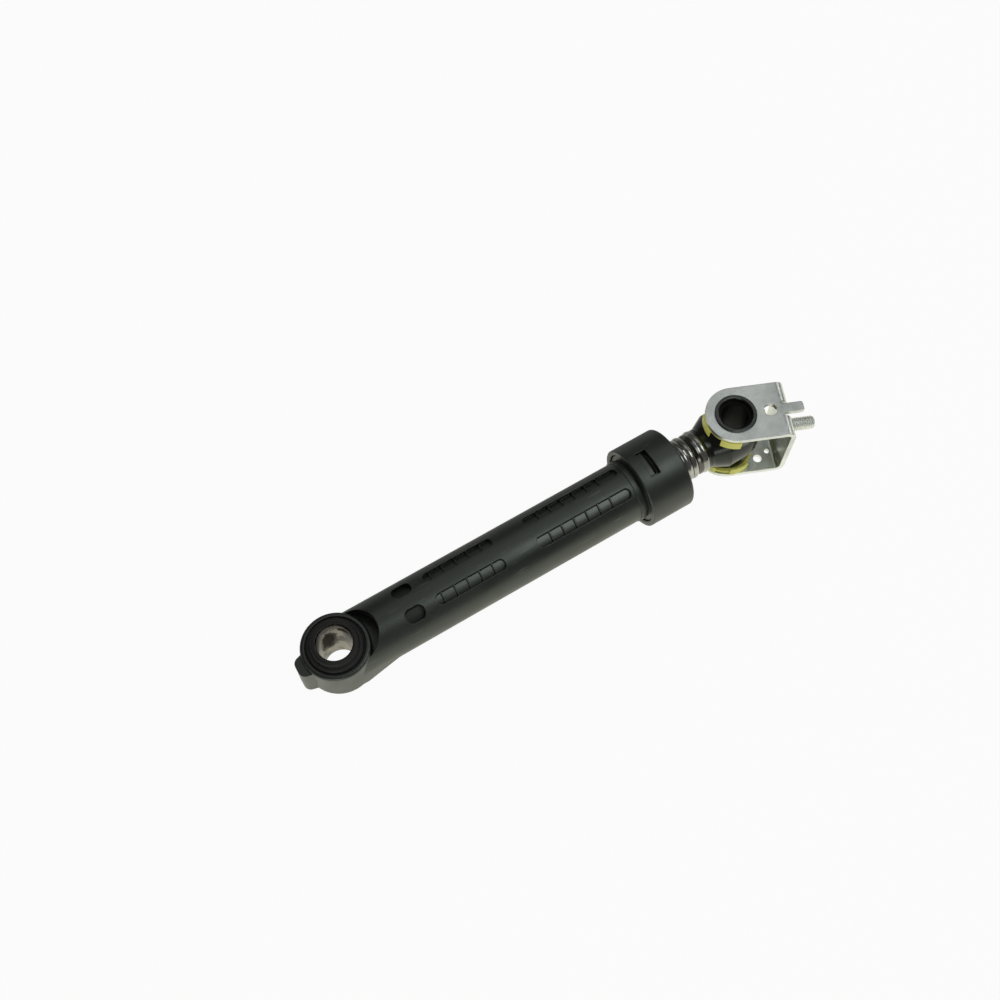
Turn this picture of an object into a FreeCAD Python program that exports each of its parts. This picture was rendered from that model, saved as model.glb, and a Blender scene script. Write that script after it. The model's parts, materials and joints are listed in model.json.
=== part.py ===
import FreeCAD, Part
import math
import os

import Sketcher

# Friction damper for a washing machine drum, millimetres.
# Origin at the middle of the lower eye, +X along the damper to the rod eye, +Z along both pivot axes.

os.makedirs("parts", exist_ok=True)
doc = FreeCAD.newDocument("damper")
sheet = doc.addObject("Spreadsheet::Sheet", "Sheet")

SIZES = [
    ("hole_span", 192.1, "lower eye to rod eye, as shown"),
    ("running", 0.06, "radial clearance of turning and sliding fits"),
    ("free_gap", 0.45, "clearance where pieces pass without touching"),
    ("tube_radius", 13.5, "housing tube"),
    ("bore_end", 20.6, "bottom of the rod bore"),
    ("eye_radius", 14.2, "lower eye"),
    ("eye_half", 9.6, "half height of the lower eye"),
    ("eye_rim", 1.9, "wall of the lower eye"),
    ("eye_round", 1.3, "edge rounding of the lower eye"),
    ("relief_radius", 18.3, "pocket between eye and tube"),
    ("relief_half", 10.8, "pocket between eye and tube, half width"),
    ("relief_floor", 3.2, "pocket between eye and tube, floor from the axis"),
    ("neck_top", 7.5, "neck between eye and tube, upper edge at the eye"),
    ("neck_top_end", 16.0, "neck, where its upper edge meets the tube"),
    ("neck_foot_start", 6.0, "neck, where its lower edge starts to rise"),
    ("neck_foot_end", 21.6, "neck, where its lower edge meets the tube"),
    ("nub_reach", 17.5, "stop nub, tip from the middle of the eye"),
    ("nub_tip", 3.7, "stop nub, half width at its tip"),
    ("nub_skew", 0.5, "stop nub, its tip to the near side"),
    ("nub_root", 8.8, "stop nub, half width at the middle of the eye"),
    ("nub_round", 3.0, "stop nub, rounding of its tip"),
    ("nub_half", 8.6, "half height of the stop nub"),
    ("nub_drop", 0.9, "middle of the stop nub below the axis"),
    ("sleeve_bore", 7.2, "steel sleeve, inside"),
    ("sleeve_wall", 1.5, "steel sleeve"),
    ("sleeve_top", 13.0, "upper end of the steel sleeve"),
    ("sleeve_foot", 17.2, "lower end of the steel sleeve"),
    ("sleeve_edge", 0.45, "chamfers of the steel sleeve"),
    ("boss_rise", 0.4, "rubber boss over the ends of the sleeve"),
    ("boss_wall", 2.5, "rubber boss outside the sleeve bore"),
    ("lip_rise", 1.3, "rubber lip over the eye face"),
    ("groove_drop", 1.0, "groove round the rubber bush"),
    ("slot_start", 28.8, "blind slots by the eye"),
    ("slot_end", 37.4, "blind slots by the eye"),
    ("slot_side", 2.9, "blind slots, edge nearest the top line"),
    ("slot_width", 5.6, "blind slots, in plan"),
    ("slot_floor", 11.0, "round floor of the blind slots"),
    ("window_side", 3.2, "coring windows, edge nearest the top line"),
    ("window_width", 4.5, "coring windows, in plan"),
    ("window_floor", 12.0, "round floor of the coring windows"),
    ("window_round", 2.0, "ends of the coring windows"),
    ("rib_top", 12.9, "cross ribs of the coring windows"),
    ("rib_width", 0.6, "cross ribs"),
    ("cell_pitch", 5.88, "cross ribs"),
    ("short_start", 43.0, "short window"),
    ("short_first", 46.4, "first rib of the short window"),
    ("short_end", 75.0, "short window"),
    ("long_start", 90.3, "long window"),
    ("long_first", 97.2, "first rib of the long window"),
    ("long_end", 135.6, "long window"),
    ("collar_start", 137.2, "collar before the cap"),
    ("collar_width", 2.4, "collar before the cap"),
    ("collar_rise", 0.45, "collar before the cap"),
    ("flare_start", 141.0, "tube opens to the friction chamber"),
    ("cup_start", 141.3, "friction chamber, outside"),
    ("cup_wall", 1.9, "friction chamber"),
    ("cup_radius", 15.5, "friction chamber, outside"),
    ("chamber_start", 145.2, "friction chamber, inside"),
    ("cap_start", 140.3, "end cap, open end"),
    ("cap_end", 161.0, "end cap, rod end"),
    ("cap_radius", 18.0, "end cap"),
    ("cap_wall", 2.2, "end cap skirt"),
    ("cap_face", 2.6, "end cap, face round the rod"),
    ("cap_round", 1.2, "end cap, outer edge"),
    ("latch_start", 145.0, "latch windows"),
    ("latch_length", 4.7, "latch windows, along the tube"),
    ("latch_width", 12.4, "latch windows, across"),
    ("latch_play", 0.1, "steep face of the snap nose in its window"),
    ("nose_rise", 2.1, "snap nose over the chamber"),
    ("nose_angle", 36.0, "snap nose, degrees round the tube"),
    ("guide_width", 2.6, "guide rings"),
    ("side_play", 0.2, "end play of the friction set"),
    ("rod_radius", 9.3, "rod tube"),
    ("rod_wall", 1.0, "rod tube"),
    ("rod_start", 41.6, "inner end of the rod tube"),
    ("rod_end", 176.0, "outer end of the rod tube"),
    ("bead_rise", 0.5, "rolled beads"),
    ("crimp_drop", 0.75, "rolled crimp"),
    ("hub_radius", 12.5, "rod eye"),
    ("hub_half", 12.9, "half height of the rod eye"),
    ("hub_seat", 10.8, "flat seats of the thrust washers"),
    ("spigot_length", 20.0, "rod eye inside the tube"),
    ("spigot_play", 0.05, "rod eye inside the tube"),
    ("core_radius", 5.2, "hollow of the spigot"),
    ("flange_thick", 1.5, "thrust washers"),
    ("flange_radius", 12.3, "thrust washers"),
    ("tab_thick", 0.75, "skirt tabs of the thrust washers"),
    ("tab_drop", 2.7, "skirt tabs of the thrust washers"),
    ("tab_near", 13.5, "skirt tabs, near edge from the washer's axis, degrees"),
    ("tab_far", 52.5, "skirt tabs, far edge from the washer's axis, degrees"),
    ("upper_turn", 15.0, "upper washer turned as shown, degrees"),
    ("lower_turn", 50.0, "lower washer turned as shown, degrees"),
    ("barrel_radius", 8.0, "pivot bushes"),
    ("barrel_wall", 0.8, "pivot bushes"),
    ("barrel_end", 0.4, "inner ends of the pivot bushes, from the middle"),
    ("lip_radius", 8.96, "lip of the pivot bushes"),
    ("lip_thick", 0.8, "lip of the pivot bushes"),
    ("core_wall", 1.5, "inner sleeve of the pivot"),
    ("core_recess", 1.6, "inner sleeve below the ears"),
    ("yaw", -22.9, "bracket turned as shown, degrees"),
    ("sheet_thick", 2.0, "bracket"),
    ("ear_outer", 16.7, "outer faces of the ears from the middle"),
    ("ear_radius", 12.8, "round ends and half width of the bracket"),
    ("web_face", 23.7, "mounting face from the pivot"),
    ("bend_radius", 4.0, "bends, outside"),
    ("gauge_hole", 2.85, "hole in the upper ear"),
    ("gauge_reach", 15.0, "hole in the upper ear from the pivot"),
    ("drain_hole", 1.9, "large hole in the lower ear"),
    ("drain_reach", 13.4, "large hole in the lower ear"),
    ("drain_side", 7.0, "large hole in the lower ear"),
    ("pilot_hole", 1.15, "small hole in the lower ear"),
    ("pilot_reach", 18.2, "small hole in the lower ear"),
    ("pilot_side", 4.0, "small hole in the lower ear"),
    ("tab_width", 4.4, "locating tab"),
    ("tab_reach", 29.3, "tip of the locating tab from the pivot"),
    ("lance_width", 6.8, "opening round the tab"),
    ("lance_foot", 7.6, "lower end of the opening"),
    ("stud_radius", 3.0, "M6 stud"),
    ("seat_radius", 3.5, "press seat of the stud in the web"),
    ("stud_reach", 37.2, "tip of the stud from the pivot"),
    ("stud_point", 0.7, "chamfer of the stud"),
    ("head_radius", 5.2, "head of the stud"),
    ("head_thick", 1.5, "head of the stud"),
]

for row, (name, value, note) in enumerate(SIZES, 1):
    sheet.set(f"A{row}", note)
    sheet.set(f"B{row}", str(value))
    sheet.setAlias(f"B{row}", name)
doc.recompute()


class Size:
    """A number together with the sheet expression that gives it."""

    def __init__(self, value, text):
        self.value = value
        self.text = text

    def __add__(self, other):
        other = as_size(other)
        return Size(self.value + other.value, f"({self.text} + {other.text})")

    def __sub__(self, other):
        other = as_size(other)
        return Size(self.value - other.value, f"({self.text} - {other.text})")

    def __mul__(self, other):
        other = as_size(other)
        return Size(self.value * other.value, f"({self.text} * {other.text})")

    def __neg__(self):
        return Size(-self.value, f"(-1 * {self.text})")


def as_size(item):
    return item if isinstance(item, Size) else Size(float(item), f"{item}")


def cosine(angle):
    return Size(math.cos(math.radians(angle.value)), f"cos({angle.text} * 1 deg)")


def sine(angle):
    return Size(math.sin(math.radians(angle.value)), f"sin({angle.text} * 1 deg)")


s = {name: Size(value, f"Sheet.{name}") for name, value, note in SIZES}


def bind(item, prop, value):
    item.setExpression(prop, as_size(value).text)


def new_body(label):
    body = doc.addObject("PartDesign::Body", label)
    body.Label = label
    return body


def plane_of(body, role):
    return [item for item in body.Origin.OriginFeatures if item.Role == role][0]


def new_sketch(body, role, lift=None):
    """Sketch on an origin plane, lifted along its normal."""
    sk = body.newObject("Sketcher::SketchObject", f"{body.Label}_sketch")
    sk.AttachmentSupport = [(plane_of(body, role), "")]
    sk.MapMode = "FlatFace"
    if lift is not None:
        bind(sk, "AttachmentOffset.Base.z", lift)
    return sk


def hold(sk, rules):
    """Adds the constraints in one go, then binds those that carry a size."""
    first = sk.ConstraintCount
    sk.addConstraint([rule for rule, item in rules])
    for place, (rule, item) in enumerate(rules, first):
        if item is not None:
            bind(sk, f"Constraints[{place}]", item)


def fix_point(geo, pos, u, v):
    """Holds a point by its two distances from the sketch origin."""
    rules = []
    for kind, item, axis in (("DistanceX", as_size(u), -2), ("DistanceY", as_size(v), -1)):
        if item.text in ("0", "0.0"):
            rules.append((Sketcher.Constraint("PointOnObject", geo, pos, axis), None))
        else:
            rules.append((Sketcher.Constraint(kind, -1, 1, geo, pos, item.value), item))
    return rules


def outline(sk, corners):
    """Closed outline through the corners; a third value rounds its corner."""
    count = len(corners)
    points = [FreeCAD.Vector(as_size(c[0]).value, as_size(c[1]).value, 0) for c in corners]
    rounds = []
    for i, corner in enumerate(corners):
        here = points[i]
        if len(corner) == 2:
            rounds.append((here, here, None))
            continue
        radius = as_size(corner[2]).value
        back = (points[i - 1] - here).normalize()
        ahead = (points[(i + 1) % count] - here).normalize()
        half = back.getAngle(ahead) / 2
        reach = radius / math.tan(half)
        middle = here + (back + ahead).normalize() * (radius / math.sin(half))
        rounds.append((here + back * reach, here + ahead * reach, middle))
    sides = [Part.LineSegment(rounds[i][1], rounds[(i + 1) % count][0]) for i in range(count)]
    lines = sk.addGeometry(sides)
    rules = []
    for i, corner in enumerate(corners):
        before, after = lines[i - 1], lines[i]
        enter, leave, middle = rounds[i]
        if middle is None:
            rules.append((Sketcher.Constraint("Coincident", before, 2, after, 1), None))
            rules += fix_point(after, 1, corner[0], corner[1])
            continue
        left_turn = (points[i] - points[i - 1]).cross(points[(i + 1) % count] - points[i]).z > 0
        first, last = (enter, leave) if left_turn else (leave, enter)
        start = math.atan2(first.y - middle.y, first.x - middle.x)
        stop = math.atan2(last.y - middle.y, last.x - middle.x)
        round_off = Part.Circle(middle, FreeCAD.Vector(0, 0, 1), as_size(corner[2]).value)
        arc = sk.addGeometry(Part.ArcOfCircle(round_off, start, stop if stop > start else stop + 2 * math.pi))
        knot = sk.addGeometry(Part.Point(points[i]), True)
        near, away = (1, 2) if left_turn else (2, 1)
        rules += fix_point(knot, 1, corner[0], corner[1])
        rules += [
            (Sketcher.Constraint("PointOnObject", knot, 1, before), None),
            (Sketcher.Constraint("PointOnObject", knot, 1, after), None),
            (Sketcher.Constraint("Tangent", before, 2, arc, near), None),
            (Sketcher.Constraint("Tangent", arc, away, after, 1), None),
            (Sketcher.Constraint("Radius", arc, as_size(corner[2]).value), corner[2]),
        ]
    hold(sk, rules)


def circle(sk, u, v, radius):
    middle = FreeCAD.Vector(as_size(u).value, as_size(v).value, 0)
    geo = sk.addGeometry(Part.Circle(middle, FreeCAD.Vector(0, 0, 1), radius.value))
    rules = fix_point(geo, 3, u, v)
    rules.append((Sketcher.Constraint("Radius", geo, radius.value), radius))
    hold(sk, rules)


def revolve(body, corners, axis="H_Axis", cut=False):
    """Turns an outline of the XZ plane about the damper axis, or about Z with V_Axis."""
    sk = new_sketch(body, "XZ_Plane")
    outline(sk, corners)
    kind = "PartDesign::Groove" if cut else "PartDesign::Revolution"
    turn = body.newObject(kind, f"{body.Label}_turn")
    turn.Profile = sk
    turn.ReferenceAxis = (sk, [axis])
    turn.Angle = 360
    return turn


def pad(body, sk, length, middle=False, back=False):
    item = body.newObject("PartDesign::Pad", f"{body.Label}_pad")
    item.Profile = sk
    item.Reversed = back
    if middle:
        item.SideType = "Symmetric"
    bind(item, "Length", length)
    return item


def cut_out(body, sk, along_normal=True):
    """Cuts everything on one side of the sketch."""
    item = body.newObject("PartDesign::Pocket", f"{body.Label}_cut")
    item.Profile = sk
    item.Type = "ThroughAll"
    item.Reversed = along_normal
    return item


def cut_to(body, sk, length, along_normal=True, middle=False):
    item = body.newObject("PartDesign::Pocket", f"{body.Label}_cut")
    item.Profile = sk
    item.Reversed = along_normal
    if middle:
        item.SideType = "Symmetric"
    bind(item, "Length", length)
    return item


def place_at_pivot(body, turn):
    """Moves a body to the upper pivot and turns it about the pivot axis by so many degrees."""
    body.Placement = FreeCAD.Placement(FreeCAD.Vector(0, 0, 0), FreeCAD.Rotation(FreeCAD.Vector(0, 0, 1), 1))
    bind(body, "Placement.Rotation.Angle", Size(turn.value, f"{turn.text} * 1 deg"))
    bind(body, "Placement.Base.x", s["hole_span"])


# Values that several pieces share
bore_radius = s["rod_radius"] + s["free_gap"]
bush_radius = s["eye_radius"] - s["eye_rim"]
sleeve_radius = s["sleeve_bore"] + s["sleeve_wall"]
chamber_radius = s["cup_radius"] - s["cup_wall"]
chamber_end = s["cap_end"] - s["cap_face"]
latch_half = s["latch_width"] * 0.5
latch_end = s["latch_start"] + s["latch_length"]
ear_inner = s["ear_outer"] - s["sheet_thick"]
bush_bore = s["barrel_radius"] - s["barrel_wall"]

# Housing: tube with friction chamber, turned about X
housing = new_body("housing")
revolve(housing, [
    (0, 0),
    (0, s["tube_radius"]),
    (s["collar_start"], s["tube_radius"]),
    (s["collar_start"], s["tube_radius"] + s["collar_rise"]),
    (s["collar_start"] + s["collar_width"], s["tube_radius"] + s["collar_rise"]),
    (s["collar_start"] + s["collar_width"], s["tube_radius"]),
    (s["flare_start"], s["tube_radius"]),
    (s["cup_start"], s["cup_radius"]),
    (chamber_end, s["cup_radius"]),
    (chamber_end, chamber_radius),
    (s["chamber_start"], chamber_radius),
    (s["chamber_start"], bore_radius),
    (s["bore_end"], bore_radius),
    (s["bore_end"], 0),
])

# Neck: side walls that run from the eye into the tube, hollowed by a pocket above and below
sk = new_sketch(housing, "XZ_Plane")
outline(sk, [
    (0, -s["eye_half"]),
    (s["neck_foot_start"], -s["eye_half"]),
    (s["neck_foot_end"], -s["neck_top"] * 0.2),
    (s["neck_foot_end"], 0),
    (s["neck_top_end"], s["neck_top"] * 0.3),
    (0, s["neck_top"]),
])
pad(housing, sk, s["tube_radius"] * 2, middle=True)
neck_end = s["neck_foot_end"] * 1.6
revolve(housing, [
    (s["bore_end"], 0),
    (neck_end, 0),
    (neck_end, bore_radius),
    (s["bore_end"], bore_radius),
], cut=True)

# Above the axis the neck keeps the round of the tube, so that its sides run into it with no edge
sk = new_sketch(housing, "XZ_Plane")
outline(sk, [
    (0, s["tube_radius"]),
    (neck_end, s["tube_radius"]),
    (neck_end, s["tube_radius"] * 1.6),
    (0, s["tube_radius"] * 1.6),
])
trim = housing.newObject("PartDesign::Groove", "housing_neck_round")
trim.Profile = sk
trim.ReferenceAxis = (sk, ["H_Axis"])
trim.Midplane = True
trim.Angle = 180

# Pockets between the eye and the tube
for side in (1, -1):
    sk = new_sketch(housing, "XY_Plane", s["relief_floor"] * side)
    outline(sk, [
        (0, -s["relief_half"]),
        (s["relief_radius"], -s["relief_half"], s["relief_half"] * 0.98),
        (s["relief_radius"], s["relief_half"], s["relief_half"] * 0.98),
        (0, s["relief_half"]),
    ])
    cut_out(housing, sk, side > 0)

# Lower eye with its stop nub and the seat of the rubber bush
sk = new_sketch(housing, "XY_Plane", -s["nub_drop"])
outline(sk, [
    (0, -s["nub_root"]),
    (0, s["nub_root"]),
    (-s["nub_reach"], s["nub_tip"] - s["nub_skew"], s["nub_round"]),
    (-s["nub_reach"], -s["nub_tip"] - s["nub_skew"], s["nub_round"]),
])
pad(housing, sk, s["nub_half"] * 2, middle=True)
revolve(housing, [
    (0, -s["eye_half"]),
    (s["eye_radius"], -s["eye_half"], s["eye_round"]),
    (s["eye_radius"], s["eye_half"], s["eye_round"]),
    (0, s["eye_half"]),
], "V_Axis")
sk = new_sketch(housing, "XY_Plane", -s["sleeve_foot"])
circle(sk, 0, 0, bush_radius)
cut_out(housing, sk)

# Slots by the eye, either side of the top line and below, floored with the windows
sk = new_sketch(housing, "XY_Plane")
slot_edge = s["slot_side"] + s["slot_width"]
slot_round = s["slot_width"] * 0.45
for side in (1, -1):
    outline(sk, [
        (s["slot_start"], s["slot_side"] * side, slot_round),
        (s["slot_end"], s["slot_side"] * side, slot_round),
        (s["slot_end"], slot_edge * side, slot_round),
        (s["slot_start"], slot_edge * side, slot_round),
    ])
cut_to(housing, sk, s["tube_radius"] * 3, middle=True)

# Coring windows: cut through in the mould's direction, then floored round the bore, with low cross ribs
WINDOWS = [
    (s["short_start"], s["short_first"], 5, s["short_end"]),
    (s["long_start"], s["long_first"], 6, s["long_end"]),
]
window_edge = s["window_side"] + s["window_width"]
sk = new_sketch(housing, "XY_Plane")
for start, first, ribs, end in WINDOWS:
    for side in (1, -1):
        outline(sk, [
            (start, s["window_side"] * side, s["window_round"]),
            (end, s["window_side"] * side, s["window_round"]),
            (end, window_edge * side, s["window_round"]),
            (start, window_edge * side, s["window_round"]),
        ])
cut_to(housing, sk, s["tube_radius"] * 3, middle=True)
rib_half = s["rib_width"] * 0.5
comb = []
for start, first, ribs, end in WINDOWS:
    for k in range(ribs):
        rib = first + s["cell_pitch"] * k
        comb += [
            (rib - rib_half, s["window_floor"]),
            (rib - rib_half, s["rib_top"]),
            (rib + rib_half, s["rib_top"]),
            (rib + rib_half, s["window_floor"]),
        ]
slot_step = (s["slot_end"] + s["short_start"]) * 0.5
floor_start = s["slot_start"] - s["rib_width"]
floor_end = s["long_end"] + s["rib_width"]
revolve(housing, [
    (floor_start, bore_radius),
    (floor_start, s["slot_floor"]),
    (slot_step, s["slot_floor"]),
    (slot_step, s["window_floor"]),
] + comb + [
    (floor_end, s["window_floor"]),
    (floor_end, bore_radius),
])

# Snap noses for the cap: a steep face to the eye and a ramp to the rod, sectors about the axis
sk = new_sketch(housing, "XZ_Plane")
nose_foot = s["cup_radius"] - s["cup_wall"] * 0.5
nose_top = s["cup_radius"] + s["nose_rise"]
for side in (1, -1):
    outline(sk, [
        (s["latch_start"] + s["latch_play"], nose_foot * side),
        (s["latch_start"] + s["latch_length"] * 0.85, nose_foot * side),
        (s["latch_start"] + s["latch_length"] * 0.85, s["cup_radius"] * side),
        (s["latch_start"] + s["latch_length"] * 0.45, nose_top * side),
        (s["latch_start"] + s["latch_play"], nose_top * side),
    ])
noses = housing.newObject("PartDesign::Revolution", "housing_noses")
noses.Profile = sk
noses.ReferenceAxis = (sk, ["H_Axis"])
noses.Midplane = True
bind(noses, "Angle", s["nose_angle"])

# Rubber bush, turned about Z: a boss over each end of the sleeve, a lip and a groove inside the eye rim
eye_bush = new_body("eye_bush")
groove_floor = s["eye_half"] - s["groove_drop"]
lip_top = s["eye_half"] + s["lip_rise"]
lip_foot = bush_radius - s["groove_drop"] * 0.9
boss_bore = s["sleeve_bore"] + s["sleeve_edge"]
boss_radius = s["sleeve_bore"] + s["boss_wall"]
boss_top = s["sleeve_top"] + s["boss_rise"]
boss_foot = s["sleeve_foot"] + s["boss_rise"]
revolve(eye_bush, [
    (sleeve_radius, -s["sleeve_foot"]),
    (boss_bore, -s["sleeve_foot"]),
    (boss_bore, -boss_foot),
    (boss_radius, -boss_foot, s["eye_round"]),
    (boss_radius, -lip_top),
    (lip_foot, -lip_top, s["eye_round"]),
    (lip_foot, -groove_floor),
    (bush_radius, -groove_floor),
    (bush_radius, groove_floor),
    (lip_foot, groove_floor),
    (lip_foot, lip_top, s["eye_round"]),
    (boss_radius, lip_top),
    (boss_radius, boss_top, s["eye_round"]),
    (boss_bore, boss_top),
    (boss_bore, s["sleeve_top"]),
    (sleeve_radius, s["sleeve_top"]),
], "V_Axis")

# Steel sleeve
eye_sleeve = new_body("eye_sleeve")
revolve(eye_sleeve, [
    (s["sleeve_bore"], -s["sleeve_foot"] + s["sleeve_edge"]),
    (boss_bore, -s["sleeve_foot"]),
    (sleeve_radius, -s["sleeve_foot"]),
    (sleeve_radius, s["sleeve_top"]),
    (boss_bore, s["sleeve_top"]),
    (s["sleeve_bore"], s["sleeve_top"] - s["sleeve_edge"]),
], "V_Axis")

# End cap with two latch windows
end_cap = new_body("end_cap")
cap_inner = s["cap_radius"] - s["cap_wall"]
cap_edge = s["cap_round"] * 0.4
revolve(end_cap, [
    (s["cap_start"], cap_inner + cap_edge),
    (s["cap_start"], s["cap_radius"], cap_edge),
    (s["cap_end"], s["cap_radius"], s["cap_round"]),
    (s["cap_end"], bore_radius + cap_edge),
    (s["cap_end"] - cap_edge, bore_radius),
    (chamber_end, bore_radius),
    (chamber_end, cap_inner),
    (s["cap_start"] + cap_edge, cap_inner),
])
sk = new_sketch(end_cap, "XY_Plane")
outline(sk, [
    (s["latch_start"], -latch_half),
    (latch_end, -latch_half),
    (latch_end, latch_half),
    (s["latch_start"], latch_half),
])
cut_to(end_cap, sk, s["cap_radius"] * 2.2, middle=True)

# Friction set: a foam ring between two guide rings, all riding on the rod
set_start = s["chamber_start"] + s["side_play"]
set_end = chamber_end - s["side_play"]
ride_radius = s["rod_radius"] + s["running"]
set_radius = chamber_radius - s["free_gap"]
RINGS = [
    ("inner_guide", set_start, set_start + s["guide_width"]),
    ("friction_lining", set_start + s["guide_width"], set_end - s["guide_width"]),
    ("outer_guide", set_end - s["guide_width"], set_end),
]
rings = []
for label, start, end in RINGS:
    ring = new_body(label)
    revolve(ring, [(start, ride_radius), (end, ride_radius), (end, set_radius), (start, set_radius)])
    rings.append(ring)

# Rod tube with two rolled beads, a crimp and a swelling at its end
rod_tube = new_body("rod_tube")
rod_inner = s["rod_radius"] - s["rod_wall"]
bead_top = s["rod_radius"] + s["bead_rise"]
crimp_foot = s["rod_radius"] - s["crimp_drop"]
crimp_inner = crimp_foot - s["rod_wall"]
bead_round = s["bead_rise"] * 3.2
end = s["rod_end"]
revolve(rod_tube, [
    (s["rod_start"], rod_inner),
    (s["rod_start"], s["rod_radius"], s["rod_wall"] * 0.6),
    (end - 11.9, s["rod_radius"]),
    (end - 10.7, bead_top, bead_round),
    (end - 9.1, s["rod_radius"]),
    (end - 7.6, bead_top, bead_round),
    (end - 6.6, s["rod_radius"]),
    (end - 5.8, crimp_foot),
    (end - 4.8, s["rod_radius"]),
    (end - 3.4, s["rod_radius"]),
    (end - 2.0, bead_top, bead_round),
    (end, s["rod_radius"]),
    (end, rod_inner),
    (end - 4.4, rod_inner),
    (end - 5.2, crimp_inner),
    (end - 6.4, crimp_inner),
    (end - 7.2, rod_inner),
])

# Rod eye: hollow spigot crimped in the tube, flared neck and round nose, flat seats about the pivot axis
rod_eye = new_body("rod_eye")
spigot_start = end - s["spigot_length"]
spigot_radius = rod_inner - s["spigot_play"]
crimp_seat = crimp_inner - s["spigot_play"]
neck_start = end + s["spigot_play"]
hub_end = s["hole_span"] + s["hub_radius"]
revolve(rod_eye, [
    (spigot_start, s["core_radius"]),
    (spigot_start, spigot_radius),
    (end - 7.6, spigot_radius),
    (end - 6.6, crimp_seat),
    (end - 5.0, crimp_seat),
    (end - 4.0, spigot_radius),
    (neck_start, spigot_radius),
    (neck_start, s["rod_radius"]),
    (neck_start + 2.0, s["rod_radius"]),
    (s["hole_span"] - s["hub_radius"] * 0.62, s["hub_radius"]),
    (hub_end, s["hub_radius"], s["hub_radius"] * 0.98),
    (hub_end, 0),
    (end - 2.0, 0),
    (end - 2.0, s["core_radius"]),
])
sk = new_sketch(rod_eye, "XY_Plane")
circle(sk, s["hole_span"], 0, s["hub_seat"])
pad(rod_eye, sk, s["hub_half"] * 2, middle=True)
sk = new_sketch(rod_eye, "XY_Plane", -s["ear_outer"])
circle(sk, s["hole_span"], 0, s["barrel_radius"] + s["running"])
cut_out(rod_eye, sk)

# Thrust washers clipped on the rod eye: a disc with four tabs folded over its shoulders
washers = []
tab_inner = s["hub_radius"] + s["spigot_play"]
tab_outer = tab_inner + s["tab_thick"]
for label, side, turn in (("washer_upper", 1, s["upper_turn"]), ("washer_lower", -1, s["lower_turn"])):
    washer = new_body(label)
    sk = new_sketch(washer, "XY_Plane", s["hub_half"] * side)
    circle(sk, 0, 0, tab_outer)
    circle(sk, 0, 0, s["barrel_radius"] + s["free_gap"])
    pad(washer, sk, s["flange_thick"], back=side < 0)
    sk = new_sketch(washer, "XY_Plane", s["hub_half"] * side)
    circle(sk, 0, 0, tab_outer)
    circle(sk, 0, 0, tab_inner)
    pad(washer, sk, s["tab_drop"], back=side > 0)
    sk = new_sketch(washer, "XY_Plane")
    edge = s["flange_radius"]
    reach = tab_outer * 1.5
    near_cos, near_sin = cosine(s["tab_near"]), sine(s["tab_near"])
    far_cos, far_sin = cosine(s["tab_far"]), sine(s["tab_far"])
    for way in (1, -1):
        outline(sk, [
            (edge * way, 0),
            (edge * near_cos * way, -(edge * near_sin)),
            (reach * near_cos * way, -(reach * near_sin)),
            (reach * near_cos * way, reach * near_sin),
            (edge * near_cos * way, edge * near_sin),
        ])
        outline(sk, [
            (0, edge * way),
            (-(edge * far_cos), edge * far_sin * way),
            (-(reach * far_cos), reach * far_sin * way),
            (reach * far_cos, reach * far_sin * way),
            (edge * far_cos, edge * far_sin * way),
        ])
    cut_out(washer, sk, side > 0)
    place_at_pivot(washer, turn)
    washers.append(washer)

# Flanged pivot bushes and their inner sleeve, turned about Z
bushes = []
for label, side in (("pivot_bush_upper", 1), ("pivot_bush_lower", -1)):
    bush = new_body(label)
    lip_outer = s["ear_outer"] + s["lip_thick"]
    lip_round = s["lip_thick"] * 0.5
    revolve(bush, [
        (bush_bore, s["barrel_end"] * side),
        (s["barrel_radius"], s["barrel_end"] * side),
        (s["barrel_radius"], s["ear_outer"] * side),
        (s["lip_radius"], s["ear_outer"] * side),
        (s["lip_radius"], lip_outer * side, lip_round),
        (bush_bore, lip_outer * side, lip_round),
    ], "V_Axis")
    bind(bush, "Placement.Base.x", s["hole_span"])
    bushes.append(bush)

pivot_sleeve = new_body("pivot_sleeve")
core_half = s["ear_outer"] - s["core_recess"]
core_inner = bush_bore - s["core_wall"]
core_edge = s["core_wall"] * 0.3
revolve(pivot_sleeve, [
    (core_inner, -core_half + core_edge),
    (core_inner + core_edge, -core_half),
    (bush_bore, -core_half),
    (bush_bore, core_half),
    (core_inner + core_edge, core_half),
    (core_inner, core_half - core_edge),
], "V_Axis")
bind(pivot_sleeve, "Placement.Base.x", s["hole_span"])

# Bracket: one folded sheet, drawn from the pivot with its web along +X, then turned to its yaw
bracket = new_body("bracket")
inner_bend = s["bend_radius"] - s["sheet_thick"]
web_inner = s["web_face"] - s["sheet_thick"]
sk = new_sketch(bracket, "XZ_Plane")
outline(sk, [
    (-s["ear_radius"], s["ear_outer"]),
    (-s["ear_radius"], ear_inner),
    (web_inner, ear_inner, inner_bend),
    (web_inner, -ear_inner, inner_bend),
    (-s["ear_radius"], -ear_inner),
    (-s["ear_radius"], -s["ear_outer"]),
    (s["web_face"], -s["ear_outer"], s["bend_radius"]),
    (s["web_face"], s["ear_outer"], s["bend_radius"]),
])
pad(bracket, sk, s["ear_radius"] * 2, middle=True)

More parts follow.
